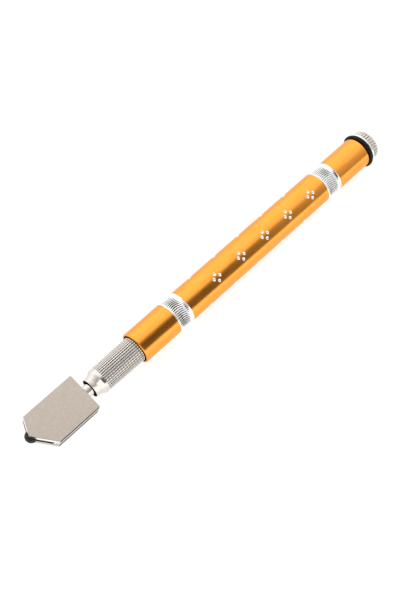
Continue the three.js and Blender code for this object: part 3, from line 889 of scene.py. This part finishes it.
def make_head():
    """Two plates and the core between them."""
    make_plate("upper_plate_satin", "upper_plate")
    make_plate("lower_plate_satin", "lower_plate")
    low, high = heights("spacer_core")
    core = slab("spacer_core_bright", core_outline(), low, high, [BRIGHT, EDGE])
    for face in core.data.polygons:
        # Painted shade: the faces round the slot get the dark finish
        in_slot = face.normal.x < -0.9 or abs(face.center.y) / MM < HEAD_SIDE - CORE_ARM + PLAY
        face.material_index = int(in_slot and abs(face.normal.z) < 0.5 and face.normal.x < 0.5)
    cut_holes(core, DOWELS)
    smooth(core)
    harden(core)
    finish_piece(core, "head", "satin_nickel", "spacer_core")


def make_wheel():
    """Carbide wheel ground to a V, with a bore and eased flats."""
    low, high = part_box("cutting_wheel")
    centre = (low + high) / 2
    radius = (high.x - low.x) / 2 / MM
    half = (high.z - low.z) / 2 / MM
    bore = half_width("wheel_axle") + WHEEL_PLAY
    flat = radius - WHEEL_BEVEL
    tip = radius - WHEEL_TIP
    profile = [(bore, -half), (flat - WHEEL_EASE, -half), (flat, -half + WHEEL_EASE),
               (tip, -WHEEL_TIP), (radius, 0.0), (tip, WHEEL_TIP),
               (flat, half - WHEEL_EASE), (flat - WHEEL_EASE, half), (bore, half)]
    turns = WHEEL_TURNS
    angles = np.arange(turns) / turns * TURN
    middle = centre / MM - Vector((FRONT, 0, AXIS_Z))
    points = [(middle.x + r * math.cos(a), middle.y + r * math.sin(a), middle.z + h)
              for r, h in profile for a in angles]
    rows = len(profile)
    faces = [(row * turns + step, row * turns + (step + 1) % turns,
              (row + 1) % rows * turns + (step + 1) % turns, (row + 1) % rows * turns + step)
             for row in range(rows) for step in range(turns)]
    piece = mesh_object("wheel_ground", points, faces, [CARBIDE])
    smooth(piece, 25)
    finish_piece(piece, "wheel", "carbide", "cutting_wheel")


# ------------------------------------------------------------------------------- tail


def make_seal():
    """Black rubber ring with full, rounded shoulders."""
    front, rear = stations("tail_seal")
    inside = BARREL_RADIUS - BARREL_WALL
    size = (rear - front) / 2 * SEAL_FULLNESS
    flat = (rear - front) / 2 - size
    inner = SEAL_INNER_ROUND
    middle = (front + rear) / 2
    profile = arc(middle + flat, SEAL_RADIUS - size, size, 0, 90, 8)
    profile += arc(middle - flat, SEAL_RADIUS - size, size, 90, 180, 8)
    profile += arc(middle - flat, inside + inner, inner, 180, 270, 3)
    profile += arc(middle + flat, inside + inner, inner, 270, 360, 3)
    profile = [(min(max(station, front), rear), radius) for station, radius in profile]
    profile.append(profile[0])
    piece = turned("tail_seal_rubber", profile, [RUBBER])
    smooth(piece, 50)
    finish_piece(piece, "seal", "black_rubber", "tail_seal")


def make_knob():
    """Nickel knob: a bright flange, a neck, short straight teeth and a low dome."""
    flange = KNOB_FRONT + KNOB_FLANGE
    neck = flange + KNOB_NECK
    dome_start = TAIL_END - KNOB_DOME
    neck_radius = KNOB_RADIUS - KNOB_NECK
    ease = KNOB_EASE
    hole = STUB_RADIUS + PLAY
    hole_floor = stations("cap_stud")[1] + STUB_GAP
    teeth_end = dome_start + KNOB_TEETH_REACH
    profile = [(hole_floor, 0), (hole_floor, hole), (KNOB_FRONT, hole)]
    profile += arc(KNOB_FRONT + ease, KNOB_FLANGE_RADIUS - ease, ease, 180, 90, 5)
    profile += arc(flange - ease, KNOB_FLANGE_RADIUS - ease, ease, 90, 0, 5)
    profile += [(flange, neck_radius), (neck, neck_radius)]
    profile += [(neck + share * KNOB_LEAD, KNOB_RADIUS - ease * (1 - share))
                for share in np.linspace(0, 1, 4)]
    profile += [(station, KNOB_RADIUS) for station in np.linspace(neck + KNOB_LEAD + PLAY, dome_start, 6)]
    for angle in np.linspace(0, math.pi / 2, 25)[1:-1]:
        profile.append((dome_start + KNOB_DOME * math.sin(angle), KNOB_RADIUS * math.cos(angle)))
    profile.append((TAIL_END, 0))

    def relief(station, radius, angles):
        if not neck < station < teeth_end or radius < hole + 1:
            return np.zeros_like(angles)
        ends = min((station - neck) / KNOB_LEAD, (teeth_end - station) / KNOB_FADE, 1.0)
        return -knurl(angles / TURN * KNOB_TEETH + 0.5, KNOB_TEETH_DEPTH) * ends

    piece = turned("cap_knob_knurled", profile, [KNOB, GROOVE, CUT], KNOB_TEETH * KNURL_STEPS, relief)
    for face in piece.data.polygons:
        station, radius = station_and_radius(face)
        rise = min(max(station - dome_start, 0) / KNOB_DOME, 1)
        tips = KNOB_RADIUS * math.sqrt(1 - rise**2)
        # Painted shade: the gaps between the teeth get the darkened nickel
        in_groove = neck < station < teeth_end and neck_radius - 0.8 < radius < tips - KNOB_SHADE
        face.material_index = 2 if station < neck else int(in_groove)
    smooth(piece, 40)
    finish_piece(piece, "cap", "bright_nickel", "cap_knob")


def make_stud():
    """Brass plug with a real right-hand thread of one millimetre pitch."""
    front, rear = stations("cap_stud")
    thread_front = BARREL_END - THREAD_REACH[0]
    thread_rear = BARREL_END + THREAD_REACH[1]
    crest = half_width("cap_stud")
    pilot = crest - THREAD_CORE
    relieved = crest - THREAD_RELIEF
    shoulder = rear - STUB_LENGTH
    ease = 0.2
    rows = [(front, 0), (front, pilot - ease), (front + ease, pilot), (thread_front, pilot)]
    count = int((thread_rear - thread_front) * THREAD_STEPS)
    rows += [(thread_front + (row + 1) / THREAD_STEPS, crest) for row in range(count)]
    rows += [(thread_rear + PLAY, relieved), (shoulder, relieved), (shoulder, STUB_RADIUS)]
    rows += [(rear - ease, STUB_RADIUS), (rear, STUB_RADIUS - ease), (rear, 0)]

    def relief(station, radius, angles):
        if radius < crest:
            return np.zeros_like(angles)
        turns = station - thread_front + angles / TURN
        saw = np.abs(turns % 1.0 - 0.5) * 2
        fade = min((station - thread_front) / 0.6, (thread_rear - station) / 0.4, 1.0)
        return -THREAD_DEPTH * np.clip(saw * 1.25 - 0.12, 0, 1) * max(fade, 0.0)

    piece = turned("cap_stud_threaded", rows, [BRASS], THREAD_TURNS, relief)
    smooth(piece, 40)
    finish_piece(piece, "cap", "brass", "cap_stud")


# ------------------------------------------------------------------------------- pieces and inner nodes

make_barrel()
make_collar()
make_spring()
make_shank()
make_head()
make_wheel()
make_seal()
make_knob()
make_stud()

INNER_FINISHES = {
    RUBBER: ["nose_seal", "gland_seal", "valve_poppet"],
    BRASS: ["guide_bush", "gland_washer", "valve_seat", "thrust_washer", "stem_nut"],
    STEEL: ["valve_stem", "wheel_axle", *DOWELS],
    SPRING_STEEL: ["shank_clip"],
    FELT: ["wick"],
}
for inner_finish, inner_nodes in INNER_FINISHES.items():
    for inner_node in inner_nodes:
        for material_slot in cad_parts[inner_node].material_slots:
            material_slot.material = inner_finish

# ------------------------------------------------------------------------------- floor, light, camera


FLOOR_HALF = 4.0                  # metres
FLOOR_COLOUR = (0.4, 0.4, 0.4)
FLOOR_GLOW = 0.75


def make_floor():
    """Plain near-white floor at the object's base, large enough for every view."""
    half = FLOOR_HALF
    mesh = bpy.data.meshes.new("floor")
    low = cad_low.z
    mesh.from_pydata([(-half, -half, low), (half, -half, low), (half, half, low), (-half, half, low)],
                     [], [(0, 1, 2, 3)])
    material, shader = new_finish("floor_white", FLOOR_COLOUR, 0.0, 0.9)
    shader.inputs["Emission Color"].default_value = (1.0, 1.0, 1.0, 1.0)
    shader.inputs["Emission Strength"].default_value = FLOOR_GLOW
    mesh.materials.append(material)
    add_object("floor", mesh)


class Sky:
    """White tent with one dark card, as a world shader of the light's direction."""

    def __init__(self):
        world = bpy.data.worlds.new("tent")
        bpy.context.scene.world = world
        world.use_nodes = True
        self.nodes = world.node_tree.nodes
        self.links = world.node_tree.links

    def combine(self, operation, first, second):
        """A Math node on two sockets or numbers."""
        node = self.nodes.new("ShaderNodeMath")
        node.operation = operation
        for socket, value in zip(node.inputs, (first, second)):
            if isinstance(value, (int, float)):
                socket.default_value = value
            else:
                self.links.new(value, socket)
        return node.outputs["Value"]

    def ramp(self, value, start, end, low, high):
        """low before start, high after end, and a smooth run between them."""
        node = self.nodes.new("ShaderNodeMapRange")
        node.interpolation_type = "SMOOTHSTEP"
        self.links.new(value, node.inputs["Value"])
        for name, number in (("From Min", start), ("From Max", end), ("To Min", low), ("To Max", high)):
            node.inputs[name].default_value = number
        return node.outputs["Result"]


TENT_LIGHT = 1.45
CARD_START = math.radians(-3)     # the card's angles from the zenith towards -Y
CARD_DARK = math.radians(20)
CARD_END = math.radians(70)
CARD_SHARPNESS = math.radians(8)
CARD_NEAR = (0.02, 0.16)          # where the card fades in and out towards the tail, as the direction's X
CARD_FAR = (0.42, 0.55)
CARD_LIGHT = 0.07
END_START, END_DARK = 0.66, 0.86  # the tent's open ends, as the direction's X
END_LIGHT = 0.3
TENT_FOOT = (0.2, 0.35)           # the tent is white all round below this, as the direction's Z
CARD_SKEW = math.radians(60)      # how much the card leans further for each unit of X past the middle
CARD_MIDDLE = 0.42
FALL_START = math.radians(-48)    # the tent dims slowly from here to the card's edge
FALL_LIGHT = 0.36


def make_tent():
    """White tent, dimmer from overhead to -Y and at its ends, with the card that draws the dark stripe."""
    sky = Sky()
    place = sky.nodes.new("ShaderNodeTexCoord")
    split = sky.nodes.new("ShaderNodeSeparateXYZ")
    sky.links.new(place.outputs["Generated"], split.inputs["Vector"])
    lean = sky.combine("ARCTAN2", sky.combine("MULTIPLY", split.outputs["Y"], -1.0), split.outputs["Z"])
    turned_by = sky.combine("MULTIPLY", sky.combine("SUBTRACT", split.outputs["X"], CARD_MIDDLE), CARD_SKEW)
    lean = sky.combine("SUBTRACT", lean, turned_by)
    past = sky.ramp(lean, CARD_END - CARD_SHARPNESS, CARD_END, 0.0, 1.0)
    fall = sky.ramp(lean, FALL_START, CARD_END, 1.0, FALL_LIGHT)
    tent = sky.combine("MAXIMUM", fall, past)
    card = sky.ramp(lean, CARD_START, CARD_DARK, 0.0, 1.0)
    card = sky.combine("MULTIPLY", card, sky.combine("SUBTRACT", 1.0, past))
    card = sky.combine("MULTIPLY", card, sky.ramp(split.outputs["X"], *CARD_NEAR, 0.0, 1.0))
    card = sky.combine("MULTIPLY", card, sky.ramp(split.outputs["X"], *CARD_FAR, 1.0, 0.0))
    lit = sky.combine("MULTIPLY", tent, sky.combine("SUBTRACT", 1.0, card))
    lit = sky.combine("ADD", lit, sky.combine("MULTIPLY", card, CARD_LIGHT))
    endwise = sky.combine("ABSOLUTE", split.outputs["X"], 0.0)
    lit = sky.combine("MULTIPLY", lit, sky.ramp(endwise, END_START, END_DARK, 1.0, END_LIGHT))
    lit = sky.combine("MAXIMUM", lit, sky.ramp(split.outputs["Z"], *TENT_FOOT, 1.0, 0.0))
    background = sky.nodes["Background"]
    sky.links.new(sky.combine("MULTIPLY", lit, TENT_LIGHT), background.inputs["Strength"])
    background.inputs["Color"].default_value = (1.0, 1.0, 1.0, 1.0)


CAMERA_AIM = (28.9, -2.5)         # station and Y, on the axis's level, that the camera looks at
CAMERA_AZIMUTH = math.radians(-160.1)
CAMERA_ELEVATION = math.radians(66.3)
CAMERA_BANK = math.radians(26.74)
CAMERA_DISTANCE = 359.4
CAMERA_LENS = 63.05
CAMERA_SENSOR = 36.0


def make_camera():
    """Camera above the head, banked so that the tool runs up across the frame."""
    data = bpy.data.cameras.new("camera")
    data.lens = CAMERA_LENS
    data.sensor_width = CAMERA_SENSOR
    camera = add_object("camera", data)
    station, side = CAMERA_AIM
    aim = Vector((station + FRONT, side, AXIS_Z)) * MM
    level = math.cos(CAMERA_ELEVATION)
    away = Vector((level * math.cos(CAMERA_AZIMUTH), level * math.sin(CAMERA_AZIMUTH),
                   math.sin(CAMERA_ELEVATION)))
    camera.location = aim + away * CAMERA_DISTANCE * MM
    turn = (-away).to_track_quat("-Z", "Y").to_matrix().to_4x4()
    camera.rotation_euler = (turn @ Matrix.Rotation(CAMERA_BANK, 4, "Z")).to_euler()
    bpy.context.scene.camera = camera


make_floor()
make_tent()
make_camera()
bpy.context.scene.view_settings.view_transform = "Standard"
